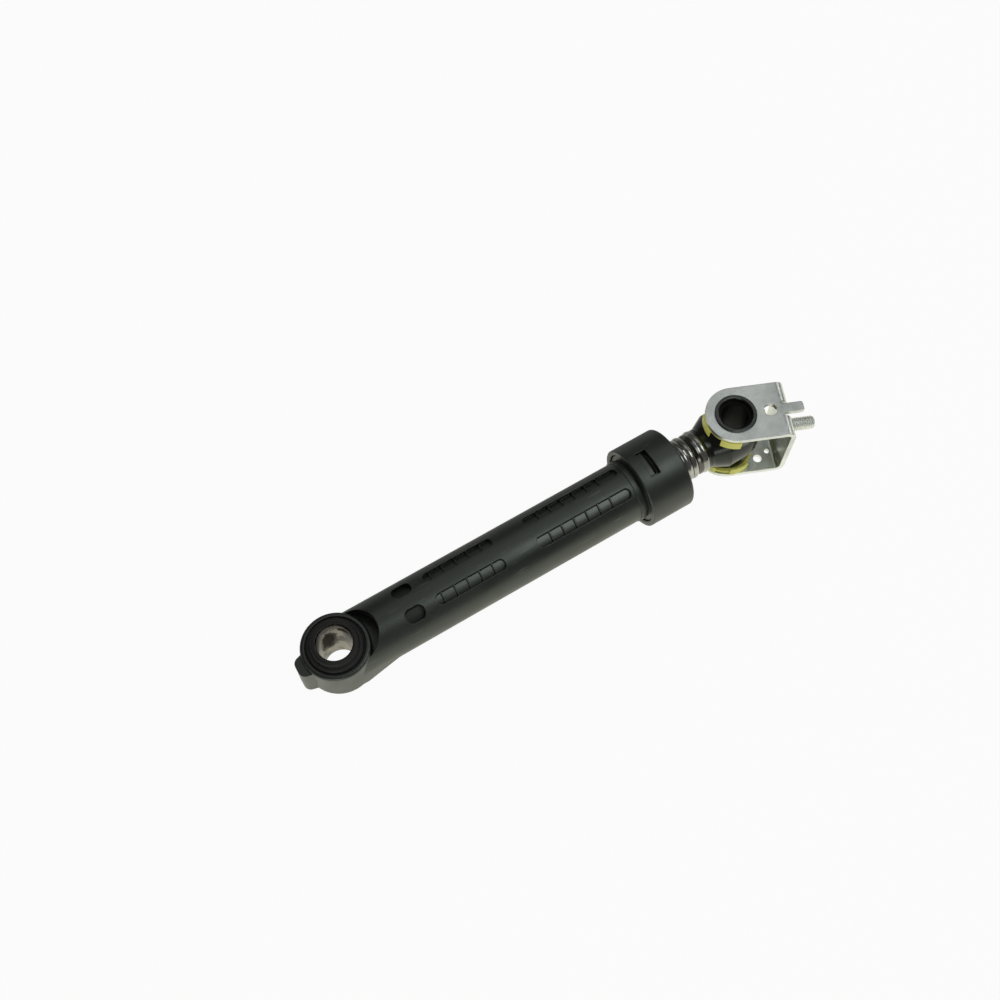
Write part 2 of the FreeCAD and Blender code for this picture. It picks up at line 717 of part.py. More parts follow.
# Plan of the ears: what lies outside the rounded outline is cut away
sk = new_sketch(bracket, "XY_Plane", -s["ear_outer"] * 1.2)
ear_round = s["ear_radius"] * 0.99
margin = s["ear_radius"] * 1.3
outline(sk, [
    (-s["ear_radius"], -s["ear_radius"], ear_round),
    (s["web_face"] * 1.1, -s["ear_radius"]),
    (s["web_face"] * 1.1, s["ear_radius"]),
    (-s["ear_radius"], s["ear_radius"], ear_round),
])
outline(sk, [
    (-margin, -margin),
    (s["web_face"] * 1.2, -margin),
    (s["web_face"] * 1.2, margin),
    (-margin, margin),
])
cut_out(bracket, sk)

# Pivot holes, gauge hole above, two small holes below
sk = new_sketch(bracket, "XY_Plane", -s["ear_outer"] * 1.2)
circle(sk, 0, 0, s["barrel_radius"])
cut_out(bracket, sk)
sk = new_sketch(bracket, "XY_Plane")
circle(sk, s["gauge_reach"], 0, s["gauge_hole"])
cut_out(bracket, sk)
sk = new_sketch(bracket, "XY_Plane")
circle(sk, s["drain_reach"], -s["drain_side"], s["drain_hole"])
circle(sk, s["pilot_reach"], -s["pilot_side"], s["pilot_hole"])
cut_out(bracket, sk, False)

# Opening lanced in web and bend, and the tab that stays in the plane of the upper ear
sk = new_sketch(bracket, "YZ_Plane", s["web_face"] - s["bend_radius"])
lance_half = s["lance_width"] * 0.5
outline(sk, [
    (-lance_half, s["lance_foot"]),
    (lance_half, s["lance_foot"]),
    (lance_half, s["ear_outer"] * 1.2),
    (-lance_half, s["ear_outer"] * 1.2),
])
cut_out(bracket, sk)
sk = new_sketch(bracket, "XY_Plane", ear_inner)
tab_half = s["tab_width"] * 0.5
tab_round = s["tab_width"] * 0.2
tab_root = s["web_face"] - s["bend_radius"] * 1.3
outline(sk, [
    (tab_root, -tab_half),
    (s["tab_reach"], -tab_half, tab_round),
    (s["tab_reach"], tab_half, tab_round),
    (tab_root, tab_half),
])
pad(bracket, sk, s["sheet_thick"])
sk = new_sketch(bracket, "YZ_Plane")
circle(sk, 0, 0, s["seat_radius"])
cut_out(bracket, sk)

# Stud pressed through the web from inside
stud = new_body("stud")
revolve(stud, [
    (web_inner - s["head_thick"], 0),
    (web_inner - s["head_thick"], s["head_radius"], s["head_thick"] * 0.4),
    (web_inner, s["head_radius"]),
    (web_inner, s["seat_radius"]),
    (s["web_face"], s["seat_radius"]),
    (s["web_face"], s["stud_radius"]),
    (s["stud_reach"] - s["stud_point"], s["stud_radius"]),
    (s["stud_reach"], s["stud_radius"] - s["stud_point"]),
    (s["stud_reach"], 0),
])
for body in (bracket, stud):
    place_at_pivot(body, s["yaw"])

doc.recompute()

bodies = [housing, eye_bush, eye_sleeve, end_cap] + rings + [rod_tube, rod_eye] + washers + bushes
bodies += [pivot_sleeve, bracket, stud]
for item in doc.Objects:
    if "Invalid" in item.State or "Error" in item.State:
        raise RuntimeError(f"{item.Name} {item.State}")
for body in bodies:
    shape = body.Shape
    if shape.isNull() or not shape.isValid() or len(shape.Solids) != 1:
        raise RuntimeError(f"{body.Label} is not one sound solid")
    shape.exportStep(f"parts/{body.Label}.step")
    print(body.Label, round(shape.Volume, 1))
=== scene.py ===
# %% [markdown]
# # A washing machine damper, dressed around its solids
# A friction damper calms the drum of a washing machine: a rod slides in a tube, through a ring of
# greased foam. Its solids come in as a fixed frame: every node already has its place and its size,
# in metres. They could be modelled again here, but then the picture and the moving model could
# drift apart. So this lesson keeps them, gives each a finish, swaps two of them for finer surfaces,
# and sets up camera, table and light.

# %% The frame
import json
import math

import bmesh
import bpy
import numpy as np
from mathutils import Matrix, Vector


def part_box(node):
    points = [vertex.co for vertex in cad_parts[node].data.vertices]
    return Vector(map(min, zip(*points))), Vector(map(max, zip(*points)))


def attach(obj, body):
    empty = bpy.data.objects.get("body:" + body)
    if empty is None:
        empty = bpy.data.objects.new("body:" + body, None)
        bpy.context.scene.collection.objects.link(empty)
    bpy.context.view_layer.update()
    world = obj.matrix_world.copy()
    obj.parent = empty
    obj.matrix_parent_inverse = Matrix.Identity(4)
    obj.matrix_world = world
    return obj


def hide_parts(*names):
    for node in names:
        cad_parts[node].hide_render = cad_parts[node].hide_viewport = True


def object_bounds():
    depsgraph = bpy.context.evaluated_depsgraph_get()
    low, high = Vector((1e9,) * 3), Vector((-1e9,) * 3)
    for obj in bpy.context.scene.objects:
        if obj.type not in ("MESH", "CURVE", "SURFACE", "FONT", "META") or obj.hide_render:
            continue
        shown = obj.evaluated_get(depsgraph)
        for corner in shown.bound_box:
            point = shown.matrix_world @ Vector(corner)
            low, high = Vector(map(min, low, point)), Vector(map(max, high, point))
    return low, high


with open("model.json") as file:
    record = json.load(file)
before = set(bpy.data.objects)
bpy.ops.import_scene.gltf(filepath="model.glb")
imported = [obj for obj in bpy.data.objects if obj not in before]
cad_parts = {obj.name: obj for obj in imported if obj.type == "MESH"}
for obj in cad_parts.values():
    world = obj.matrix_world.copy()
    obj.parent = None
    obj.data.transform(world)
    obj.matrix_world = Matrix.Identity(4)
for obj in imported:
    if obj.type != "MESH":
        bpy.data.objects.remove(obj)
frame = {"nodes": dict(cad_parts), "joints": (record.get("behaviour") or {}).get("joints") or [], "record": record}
cad_box = [list(corner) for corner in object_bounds()]
nodes = frame["nodes"]
print("nodes:", ", ".join(sorted(nodes)))

# %% [markdown]
# ## The camera
# The picture was taken from above and in front, a little to the left, with an ordinary lens.
# Its angles were found by fitting the two pivot holes, the tube and the bracket, so they are plain
# values here: an azimuth and an elevation round a point on the damper, and the distance to it.
# A camera set by eye would do for a pretty view, but a fitted one lets the render be laid over
# the picture, edge on edge. The lamps are placed by two such angles later.

# %% Camera
MM = 0.001
LENS = 46.52
NEAREST = 10.0 * MM
AZIMUTH, ELEVATION = -31.318, 64.915
DISTANCE = 545.724 * MM
TARGET = Vector((90.551, 24.195, 0.0)) * MM


def aim(item, target, azimuth, elevation, distance):
    """Puts a camera or lamp at two angles, in degrees, and a distance from its target, facing it.

    Azimuth 0 is in front of the damper, elevation 90 straight above it.
    """
    turn, rise = math.radians(azimuth), math.radians(elevation)
    out = Vector((
        math.sin(turn) * math.cos(rise),
        -math.cos(turn) * math.cos(rise),
        math.sin(rise),
    ))
    item.location = target + out * distance
    item.rotation_euler = out.to_track_quat("Z", "Y").to_euler()
    bpy.context.scene.collection.objects.link(item)


camera = bpy.data.objects.new("camera", bpy.data.cameras.new("camera"))
camera.data.lens = LENS
camera.data.clip_start = NEAREST
aim(camera, TARGET, AZIMUTH, ELEVATION, DISTANCE)
bpy.context.scene.camera = camera
print("camera at", [round(c / MM, 1) for c in camera.location], "mm")

# %% [markdown]
# ## Small helpers for nodes
# Every finish below is a node tree. It could be clicked together in the shader editor, but written
# down it can be read and changed. A few helpers keep it short: one makes a node with its values,
# one feeds a socket with a link or a plain value, and the others make the nodes that come back
# everywhere: maths, a change of range, noise, a ramp and a blend.


# %% Nodes and links
def add(tree, kind, **values):
    """Makes a node; a value goes to the socket of that name, or else to the node's own setting."""
    item = tree.nodes.new(kind)
    for name, value in values.items():
        socket = item.inputs.get(name.replace("_", " "))
        if socket is not None:
            socket.default_value = value
        else:
            setattr(item, name, value)
    return item


def feed(tree, source, target):
    """Links a socket to the target, or sets a plain value on it."""
    if isinstance(source, bpy.types.NodeSocket):
        tree.links.new(source, target)
    else:
        target.default_value = source


print("helpers: add, feed")


# %% Numbers and vectors
def calculate(tree, operation, *terms):
    """A Math node on one to three terms, each a socket or a number."""
    item = add(tree, "ShaderNodeMath", operation=operation)
    for term, socket in zip(terms, item.inputs):
        feed(tree, term, socket)
    return item.outputs["Value"]


def calculate_vector(tree, operation, *terms):
    """A Vector Math node; a length or a dot product comes out as a number."""
    item = add(tree, "ShaderNodeVectorMath", operation=operation)
    for term, socket in zip(terms, item.inputs):
        feed(tree, term, socket)
    return item.outputs["Value" if operation in ("LENGTH", "DOT_PRODUCT") else "Vector"]


def split(tree, vector, axis):
    """One coordinate of a vector."""
    item = tree.nodes.new("ShaderNodeSeparateXYZ")
    feed(tree, vector, item.inputs["Vector"])
    return item.outputs[axis]


def remap(tree, value, start, end, low=0.0, high=1.0):
    """A Map Range node: the value's way from start to end becomes low to high, and stops there."""
    item = tree.nodes.new("ShaderNodeMapRange")
    names = ("Value", "From Min", "From Max", "To Min", "To Max")
    for name, term in zip(names, (value, start, end, low, high)):
        feed(tree, term, item.inputs[name])
    return item.outputs["Result"]


print("helpers: calculate, calculate_vector, split, remap")

# %% Patterns and colours
NOISE_ENDS = (0.3, 0.7)


def noise(tree, place, scale, detail, roughness=0.5, distortion=0.0):
    """Noise between 0 and 1 at a place; the scale is in patterns per metre."""
    item = add(
        tree, "ShaderNodeTexNoise", Detail=detail, Roughness=roughness, Distortion=distortion
    )
    feed(tree, place, item.inputs["Vector"])
    feed(tree, scale, item.inputs["Scale"])
    return item.outputs["Fac"]


def ramp(tree, factor, first, second, ends=NOISE_ENDS):
    """A ramp from the first shade to the second, each a colour or a grey, between two ends.

    Unless they are given, the ends are those between which most of a noise lies.
    """
    item = tree.nodes.new("ShaderNodeValToRGB")
    for element, place, shade in zip(item.color_ramp.elements, ends, (first, second)):
        colour = shade if isinstance(shade, tuple) else (shade, shade, shade)
        element.position = place
        element.color = (*colour, 1.0)
    feed(tree, factor, item.inputs["Fac"])
    return item.outputs["Color"]


def blend_in(tree, kind, mask, first, second):
    """A Mix node from the first to the second by a mask; each is a socket or a plain value."""
    item = add(tree, "ShaderNodeMix", data_type=kind)
    for name, source in (("Factor", mask), ("A", first), ("B", second)):
        feed(tree, source, item.inputs[name])
    return item.outputs["Result"]


print("helpers: noise, ramp, blend_in")

# %% [markdown]
# ## A finish and its shader
# Each finish has one Principled BSDF, the shader that covers plastic, rubber and metal alike.
# What is the same all over a surface is set on its sockets. What changes over the surface, which
# is colour, roughness and relief, is worked out by nodes and fed in last. The relief is a bump and
# not geometry, because a grain of a few hundredths of a millimetre never shows in an outline.


# %% New finish
def new_finish(name, **values):
    """A material with an empty tree but for its Principled BSDF, whose sockets take the values."""
    finish = bpy.data.materials.new(name)
    finish.use_nodes = True
    tree = finish.node_tree
    tree.nodes.clear()
    skin = tree.nodes.new("ShaderNodeBsdfPrincipled")
    out = tree.nodes.new("ShaderNodeOutputMaterial")
    feed(tree, skin.outputs["BSDF"], out.inputs["Surface"])
    for socket, value in values.items():
        skin.inputs[socket.replace("_", " ")].default_value = value
    return finish, tree, skin


def dress(tree, skin, colour, gloss, height, strength, depth, normal=None):
    """Feeds colour, roughness and a bump of this depth, in mm, to the Principled BSDF."""
    bump = add(tree, "ShaderNodeBump", Strength=strength, Distance=depth * MM)
    feed(tree, height, bump.inputs["Height"])
    if normal is not None:
        feed(tree, normal, bump.inputs["Normal"])
    feed(tree, colour, skin.inputs["Base Color"])
    feed(tree, gloss, skin.inputs["Roughness"])
    feed(tree, bump.outputs["Normal"], skin.inputs["Normal"])


print("helpers: new_finish, dress")

# %% [markdown]
# ## Shared effects
# A few effects come back in several finishes: the worn edge that every handled part has, the fine
# spark-eroded grain that a mould leaves on plastic, the long scuffs of handling, and the streaks
# that drawing or rolling leaves on metal. They could be copied into each material, but as node
# groups they are built once and placed with other values. A group only hands out masks, heights
# and normals; the shader stays in the material.


# %% Group helper
def new_group(name, inputs, outputs):
    """A shader group with float inputs {name: default} and outputs {name: kind}, and its ends."""
    group = bpy.data.node_groups.new(name, "ShaderNodeTree")
    for label, default in inputs.items():
        socket = group.interface.new_socket(
            label, in_out="INPUT", socket_type="NodeSocketFloat"
        )
        socket.default_value = default
    for label, kind in outputs.items():
        group.interface.new_socket(label, in_out="OUTPUT", socket_type="NodeSocket" + kind)
    take = group.nodes.new("NodeGroupInput").outputs
    give = group.nodes.new("NodeGroupOutput").inputs
    place = group.nodes.new("ShaderNodeTexCoord").outputs["Object"]
    return group, take, give, place


def use_group(tree, group, **values):
    """Places a group in a tree with its own values, and hands back its outputs."""
    item = tree.nodes.new("ShaderNodeGroup")
    item.node_tree = group
    for name, value in values.items():
        item.inputs[name.replace("_", " ")].default_value = value
    return item.outputs


print("helpers: new_group, use_group")

# %% [markdown]
# ### Worn edges, partly a painted highlight
# On the real damper the edges are never knife sharp: a mould or a press rounds them, and handling
# rubs them. Most edges of the solids are sharp, so the Bevel node gives a normal that is bent
# near an edge. Where that bent normal leaves the true one there is an edge, so the drop of their
# dot product is also the mask of the wear. The Pointiness output is the usual way, but it needs
# a dense joined mesh, and the solids are loose triangles. Where a finish makes its edges lighter
# by this mask, that is partly wear and partly a painted highlight.

# %% Worn edge group
EDGE_SAMPLES = 6
EDGE_STARTS, EDGE_FULL = 0.985, 0.86
CHIP_SCALE = 700.0
CHIP_STARTS, CHIP_FULL = 0.36, 0.6

edge_group, take, give, place = new_group(
    "worn_and_highlit_edge", {"Radius": 0.3 * MM}, {"Mask": "Float", "Normal": "Vector"}
)
bent = add(edge_group, "ShaderNodeBevel", samples=EDGE_SAMPLES)
feed(edge_group, take["Radius"], bent.inputs["Radius"])
true_normal = add(edge_group, "ShaderNodeNewGeometry").outputs["Normal"]
match = calculate_vector(edge_group, "DOT_PRODUCT", bent.outputs["Normal"], true_normal)
chips = noise(edge_group, place, CHIP_SCALE, detail=3.0)
at_edge = remap(edge_group, match, EDGE_STARTS, EDGE_FULL)
chipped = remap(edge_group, chips, CHIP_STARTS, CHIP_FULL)
feed(edge_group, calculate(edge_group, "MULTIPLY", at_edge, chipped), give["Mask"])
feed(edge_group, bent.outputs["Normal"], give["Normal"])
print("group:", edge_group.name)

# %% [markdown]
# ### Grain, scuffs and draw marks
# All three are noise on Object coordinates, so a pattern keeps its size in millimetres on every
# piece. The grain is fine and even, the scuffs are stretched noise cut to thin lines inside soft
# patches, and the draw marks are noise squeezed along the damper, with slow clouds beside it.
# Image textures could do the same, but they need an unwrapped mesh and blur when the camera
# comes near.

# %% Mould grain
grain_group, take, give, place = new_group(
    "mould_grain",
    {"Grain Scale": 3200.0, "Flow Scale": 60.0},
    {"Height": "Float", "Flow": "Float"},
)
fine = noise(grain_group, place, take["Grain Scale"], detail=3.0, roughness=0.6)
flow = noise(
    grain_group, place, take["Flow Scale"], detail=4.0, roughness=0.55, distortion=0.6
)
feed(grain_group, fine, give["Height"])
feed(grain_group, flow, give["Flow"])
print("group:", grain_group.name)

# %% Handling scuffs
SCUFF_STRETCH, SCUFF_TURN = (0.06, 1.0, 1.0), (0.0, 0.0, 0.25)
SCUFF_STARTS, SCUFF_FULL = 0.64, 0.74
PATCH_SCALE = 120.0
PATCH_STARTS, PATCH_FULL = 0.45, 0.65

scuff_group, take, give, place = new_group(
    "handling_scuffs", {"Scuff Scale": 900.0, "Amount": 0.5}, {"Mask": "Float"}
)
stretch = add(scuff_group, "ShaderNodeMapping", Scale=SCUFF_STRETCH, Rotation=SCUFF_TURN)
feed(scuff_group, place, stretch.inputs["Vector"])
lines = noise(scuff_group, stretch.outputs["Vector"], take["Scuff Scale"], detail=2.0)
patches = noise(scuff_group, place, PATCH_SCALE, detail=2.0)
thin = remap(scuff_group, lines, SCUFF_STARTS, SCUFF_FULL)
spots = remap(scuff_group, patches, PATCH_STARTS, PATCH_FULL)
scuffs = calculate(scuff_group, "MULTIPLY", thin, spots)
feed(scuff_group, calculate(scuff_group, "MULTIPLY", scuffs, take["Amount"]), give["Mask"])
print("group:", scuff_group.name)

# %% Draw marks on metal
draw_group, take, give, place = new_group(
    "draw_marks",
    {"Line Scale": 2500.0, "Cloud Scale": 150.0, "Squeeze": 0.02},
    {"Lines": "Float", "Clouds": "Float"},
)
squeeze = add(draw_group, "ShaderNodeCombineXYZ", Y=1.0, Z=1.0)
feed(draw_group, take["Squeeze"], squeeze.inputs["X"])
along = calculate_vector(draw_group, "MULTIPLY", place, squeeze.outputs["Vector"])
lines = noise(draw_group, along, take["Line Scale"], detail=3.0, roughness=0.6)
clouds = noise(draw_group, place, take["Cloud Scale"], detail=5.0, roughness=0.6)
feed(draw_group, lines, give["Lines"])
feed(draw_group, clouds, give["Clouds"])
print("group:", draw_group.name)

# %% [markdown]
# ### A mask by place
# Some finishes change with the place on the damper: the floors of the coring windows are polished
# by the core pins and a little lighter, the grooves of the rod are darker, and its rounded end is
# darkened as a painted shade. They could be painted on by hand. But all of them lie nearer to the
# axis than the skin round them, so one group compares the distance from the axis, and two ends
# along it, and gives one mask.

# %% Nearer to the axis
ACROSS = (0.0, 1.0, 1.0)

core_group, take, give, place = new_group(
    "core_mask", {"Radius": 12.5 * MM, "Start": 40.0 * MM, "End": 137.0 * MM}, {"Mask": "Float"}
)
across = calculate_vector(core_group, "MULTIPLY", place, ACROSS)
off_axis = calculate_vector(core_group, "LENGTH", across)
along = split(core_group, place, "X")
near = calculate(core_group, "LESS_THAN", off_axis, take["Radius"])
after = calculate(core_group, "GREATER_THAN", along, take["Start"])
before = calculate(core_group, "LESS_THAN", along, take["End"])
between = calculate(core_group, "MULTIPLY", after, before)
feed(core_group, calculate(core_group, "MULTIPLY", near, between), give["Mask"])


def core_mask(tree, radius, start, end):
    """Places that group: 1 nearer to the axis than the radius and between both ends, all in mm."""
    item = use_group(tree, core_group, Radius=radius * MM, Start=start * MM, End=end * MM)
    return item["Mask"]


print("group:", core_group.name)

# %% [markdown]
# ## Black mouldings
# Housing, cap, rod eye and pivot bushes are the same kind of glass filled nylon: black, with
# a faint grey sheen on top and olive grey where the bright table shows in it. The guide rings
# inside are moulded too, without the black. One black for all would do from afar, but their gloss
# differs, so one function makes them with other values. The grain is a bump, the slow flow of the
# melt changes roughness and shade, and scuffs lift it to grey. The worn edges are lighter, partly
# from wear and partly as a painted highlight. The floors of windows and slots get a roughness and
# a colour of their own.

# %% Moulded plastic
SCUFF_GREY = (0.11, 0.11, 0.105, 1.0)
SHEEN_TINT = (0.92, 1.0, 0.93, 1.0)
RUB_AND_HIGHLIGHT_GAIN, RUB_AND_HIGHLIGHT_LIFT = 1.2, 0.035
FLOW_GLOSSIER, FLOW_DULLER = 0.05, 0.06
GRAIN_STRENGTH, GRAIN_DEPTH = 0.12, 0.05


def moulded(name, dark, light, rough, scuff, edge, floors=(), shine=1.0):
    """Moulded plastic between two shades; edge is its rounding in mm, shine its reflectance.

    A floor is a radius, start and end in mm, with its roughness and its own colour.
    """
    finish, tree, skin = new_finish(
        name, Specular_IOR_Level=shine, Specular_Tint=SHEEN_TINT
    )
    grain = use_group(tree, grain_group)
    marks = use_group(tree, scuff_group, Amount=scuff)
    worn_and_highlit = use_group(tree, edge_group, Radius=edge * MM)
    # Lighter worn edges: partly wear, partly a painted highlight.
    rubbed_and_highlit = tuple(min(1.0, RUB_AND_HIGHLIGHT_GAIN * c + RUB_AND_HIGHLIGHT_LIFT) for c in light)
    colour = ramp(tree, grain["Flow"], dark, light)
    colour = blend_in(tree, "RGBA", marks["Mask"], colour, SCUFF_GREY)
    colour = blend_in(tree, "RGBA", worn_and_highlit["Mask"], colour, (*rubbed_and_highlit, 1.0))
    gloss = ramp(tree, grain["Flow"], rough - FLOW_GLOSSIER, rough + FLOW_DULLER)
    for radius, start, end, floor_rough, floor_colour in floors:
        floor_mask = core_mask(tree, radius, start, end)
        colour = blend_in(tree, "RGBA", floor_mask, colour, floor_colour)
        gloss = blend_in(tree, "FLOAT", floor_mask, gloss, floor_rough)
    dress(
        tree, skin, colour, gloss, grain["Height"],
        strength=GRAIN_STRENGTH, depth=GRAIN_DEPTH, normal=worn_and_highlit["Normal"],
    )
    return finish


print("helper: moulded")

# %% The mouldings
WINDOW_FLOORS = (12.5, 40.0, 137.0, 0.33, (0.016, 0.0165, 0.0155, 1.0))
SLOT_FLOORS = (11.3, 28.4, 38.0, 0.65, (0.006, 0.0075, 0.0065, 1.0))

housing_black = moulded(
    "housing_black", (0.003, 0.0036, 0.0032), (0.0055, 0.0064, 0.0058),
    rough=0.41, scuff=0.5, edge=0.3, floors=(WINDOW_FLOORS, SLOT_FLOORS),
)
cap_black = moulded(
    "cap_black", (0.003, 0.0036, 0.0032), (0.005, 0.0056, 0.0053),
    rough=0.42, scuff=0.4, edge=0.4,
)
eye_black = moulded(
    "eye_black", (0.002, 0.002, 0.002), (0.004, 0.004, 0.004),
    rough=0.22, scuff=0.3, edge=0.3, shine=0.5,
)
bush_black = moulded(
    "bush_black", (0.003, 0.003, 0.003), (0.006, 0.006, 0.006),
    rough=0.2, scuff=0.2, edge=0.7,
)
pin_black = moulded(
    "pin_black", (0.002, 0.002, 0.001), (0.004, 0.004, 0.003),
    rough=0.5, scuff=0.1, edge=0.2, shine=0.15,
)
natural_moulding = moulded(
    "natural_moulding", (0.55, 0.54, 0.5), (0.65, 0.64, 0.6),
    rough=0.45, scuff=0.1, edge=0.2,
)
mouldings = (housing_black, cap_black, eye_black, bush_black, pin_black, natural_moulding)
print("mouldings:", ", ".join(finish.name for finish in mouldings))

# %% [markdown]
# ## Rubber in the lower eye
# The eye holds a thick rubber bush, so that the damper can tilt a little on its pin without
# a sound. It could share the finish of the mouldings with more roughness. But rubber shows no
# scuffs, its grain is coarser and it reflects less, so it gets a short tree of its own.

# %% Rubber
RUBBER_DARK, RUBBER_PALE = 0.007, 0.014
RUBBER_GLOSSY, RUBBER_DULL = 0.5, 0.66
RUBBER_EDGE = 0.35

rubber, tree, skin = new_finish("eye_rubber", Specular_IOR_Level=0.35)
grain = use_group(tree, grain_group, Grain_Scale=1800.0, Flow_Scale=140.0)
worn_and_highlit = use_group(tree, edge_group, Radius=RUBBER_EDGE * MM)
dress(
    tree, skin,
    ramp(tree, grain["Flow"], RUBBER_DARK, RUBBER_PALE),
    ramp(tree, grain["Flow"], RUBBER_GLOSSY, RUBBER_DULL),
    grain["Height"], strength=0.2, depth=0.06, normal=worn_and_highlit["Normal"],
)
print("rubber:", rubber.name)

# %% [markdown]
# ### Patches of painted shade in the bore
# The bore of the lower eye isn't evenly bright: its far wall and its upper part get dark brown,
# matt patches, a painted shade in the look of dried grease. They could be small sheets of their
# own, but a film has no thickness to speak of, so a mask is enough. It is a soft ball round one
# point of the bore, its distance torn by noise, so that its rim is ragged. The patches are no metal
# and hardly shine, so the mask takes the metal away under them.

# %% Painted shade patches
RAG_SCALE = 260.0
SHADE_PATCH_TEAR = 1.6
SHADE_PATCH_STARTS, SHADE_PATCH_FULL = 0.35, -0.1
PAINTED_SHADE_BROWN = (0.085, 0.056, 0.03, 1.0)
PAINTED_SHADE_ROUGH = 0.75


def painted_shade_patch(tree, centre, reach, flatness):
    """A mask of 1 about the centre and 0 away from it, with a ragged rim; all sizes in mm.

    The distance, with heights times flatness, less noise times reach, is remapped to the mask.
    """
    place = tree.nodes.new("ShaderNodeTexCoord").outputs["Object"]
    ragged = noise(tree, place, RAG_SCALE, detail=4.0, roughness=0.65)
    offset = calculate_vector(tree, "SUBTRACT", place, tuple(c * MM for c in centre))
    offset = calculate_vector(tree, "MULTIPLY", offset, (1.0, 1.0, flatness))
    gap = calculate_vector(tree, "LENGTH", offset)
    torn = calculate(tree, "MULTIPLY_ADD", ragged, -SHADE_PATCH_TEAR * reach * MM, gap)
    return remap(tree, torn, SHADE_PATCH_STARTS * reach * MM, SHADE_PATCH_FULL * reach * MM)


def add_painted_shade(tree, skin, colour, gloss, shade_patches):
    """Colour and roughness under patches of painted shade: the largest mask blends them in, less metal."""
    painted_shade = 0.0
    for shade_patch in shade_patches:
        painted_shade = calculate(tree, "MAXIMUM", painted_shade, painted_shade_patch(tree, *shade_patch))
    feed(tree, calculate(tree, "SUBTRACT", 1.0, painted_shade), skin.inputs["Metallic"])
    # Painted shade: dark brown and matt where the patches lie.
    colour = blend_in(tree, "RGBA", painted_shade, colour, PAINTED_SHADE_BROWN)
    gloss = blend_in(tree, "FLOAT", painted_shade, gloss, PAINTED_SHADE_ROUGH)
    return colour, gloss


print("helpers: painted_shade_patch, smeared")

# %% [markdown]
# ## Steel and zinc
# Four metal pieces show: the drawn sleeve in the eye, the polished rod, the bracket of zinc plated
# sheet, and its stud. A plain metallic shader would look like chrome. Real sheet and bar keep the
# streaks of rolls and dies, so streaks change the roughness and slow clouds the colour. The worn
# edges are brighter, partly from wear and partly as a painted highlight. One function makes them
# all; the rod also takes darker grooves and a painted shade at its end, and the sleeve patches of
# painted shade.

# %% Steel
BARE_AND_HIGHLIT_WARMTH = (1.0, 1.0, 0.97)
DARKER_BAND_WARMTH = (1.0, 0.97, 0.9)
STREAK_GLOSSIER, STREAK_DULLER = 0.07, 0.09
STREAK_DEPTH = 0.03


def steel(
    name, dark, light, rough, squeeze, edge=0.25, line_scale=2500.0, cloud_scale=150.0,
    relief=0.05, bare_and_highlit=0.8, cloud_ends=NOISE_ENDS, grooves=(), shade_patches=(), uneven=1.0,
):
    """Plated or drawn steel between two shades; squeeze stretches its streaks along X.

    The grey given for the worn edges is partly wear and partly a painted highlight; uneven is the
    share of the streaks in its roughness. A groove is a radius, start and end in mm, with its shade;
    the rod's end is darkened the same way, as a painted shade. A patch of painted shade is a centre
    and a reach in mm, and a flatness.
    """
    finish, tree, skin = new_finish(name, Metallic=1.0)
    marks = use_group(
        tree, draw_group, Line_Scale=line_scale, Cloud_Scale=cloud_scale, Squeeze=squeeze
    )
    worn_and_highlit = use_group(tree, edge_group, Radius=edge * MM)
    # Brighter worn edges: partly wear, partly a painted highlight.
    bare_and_highlit_edge = (*(bare_and_highlit * c for c in BARE_AND_HIGHLIT_WARMTH), 1.0)
    colour = ramp(tree, marks["Clouds"], dark, light, cloud_ends)
    colour = blend_in(tree, "RGBA", worn_and_highlit["Mask"], colour, bare_and_highlit_edge)
    # Darker bands near the axis: the rod's grooves, and its rounded end as a painted shade.
    for radius, start, end, shade in grooves:
        darker_band = core_mask(tree, radius, start, end)
        darker_band_shade = (*(shade * c for c in DARKER_BAND_WARMTH), 1.0)
        colour = blend_in(tree, "RGBA", darker_band, colour, darker_band_shade)
    glossy, dull = rough - STREAK_GLOSSIER * uneven, rough + STREAK_DULLER * uneven
    gloss = ramp(tree, marks["Lines"], glossy, dull)
    if shade_patches:
        colour, gloss = add_painted_shade(tree, skin, colour, gloss, shade_patches)
    dress(
        tree, skin, colour, gloss, marks["Lines"],
        strength=relief, depth=STREAK_DEPTH, normal=worn_and_highlit["Normal"],
    )
    return finish


print("helper: steel")

# %% The metals
# Two patches of painted shade: on the far wall and on the upper part of the bore.
FAR_PAINTED_SHADE = ((-0.6, 7.15, -1.0), 3.6, 0.45)
TOP_PAINTED_SHADE = ((5.4, 4.7, 8.6), 2.5, 1.3)
BEAD_GROOVES = (9.38, 164.6, 172.2, 0.13)
# The rod's rounded end is darkened as a painted shade.
ROD_END_PAINTED_SHADE = (12.0, 174.8, 180.0, 0.06)

sleeve_steel = steel(
    "sleeve_steel", (0.014, 0.009, 0.005), (0.24, 0.225, 0.19), rough=0.36, squeeze=1.0,
    cloud_scale=110.0, bare_and_highlit=0.4, cloud_ends=(0.44, 0.58), shade_patches=(FAR_PAINTED_SHADE, TOP_PAINTED_SHADE),
)
rod_steel = steel(
    "rod_steel", (0.30, 0.30, 0.29), (0.50, 0.50, 0.48), rough=0.2, squeeze=0.02,
    relief=0.01, bare_and_highlit=0.5, grooves=(BEAD_GROOVES, ROD_END_PAINTED_SHADE), uneven=0.3,
)
zinc_sheet = steel(
    "zinc_sheet", (0.56, 0.59, 0.57), (0.86, 0.89, 0.86), rough=0.34, squeeze=0.35,
    edge=0.35, line_scale=1400.0, cloud_scale=90.0, relief=0.1, uneven=1.4,
)
zinc_stud = steel(
    "zinc_stud", (0.80, 0.82, 0.78), (0.93, 0.95, 0.91), rough=0.5, squeeze=1.0
)
metals = (sleeve_steel, rod_steel, zinc_sheet, zinc_stud)
print("metals:", ", ".join(finish.name for finish in metals))

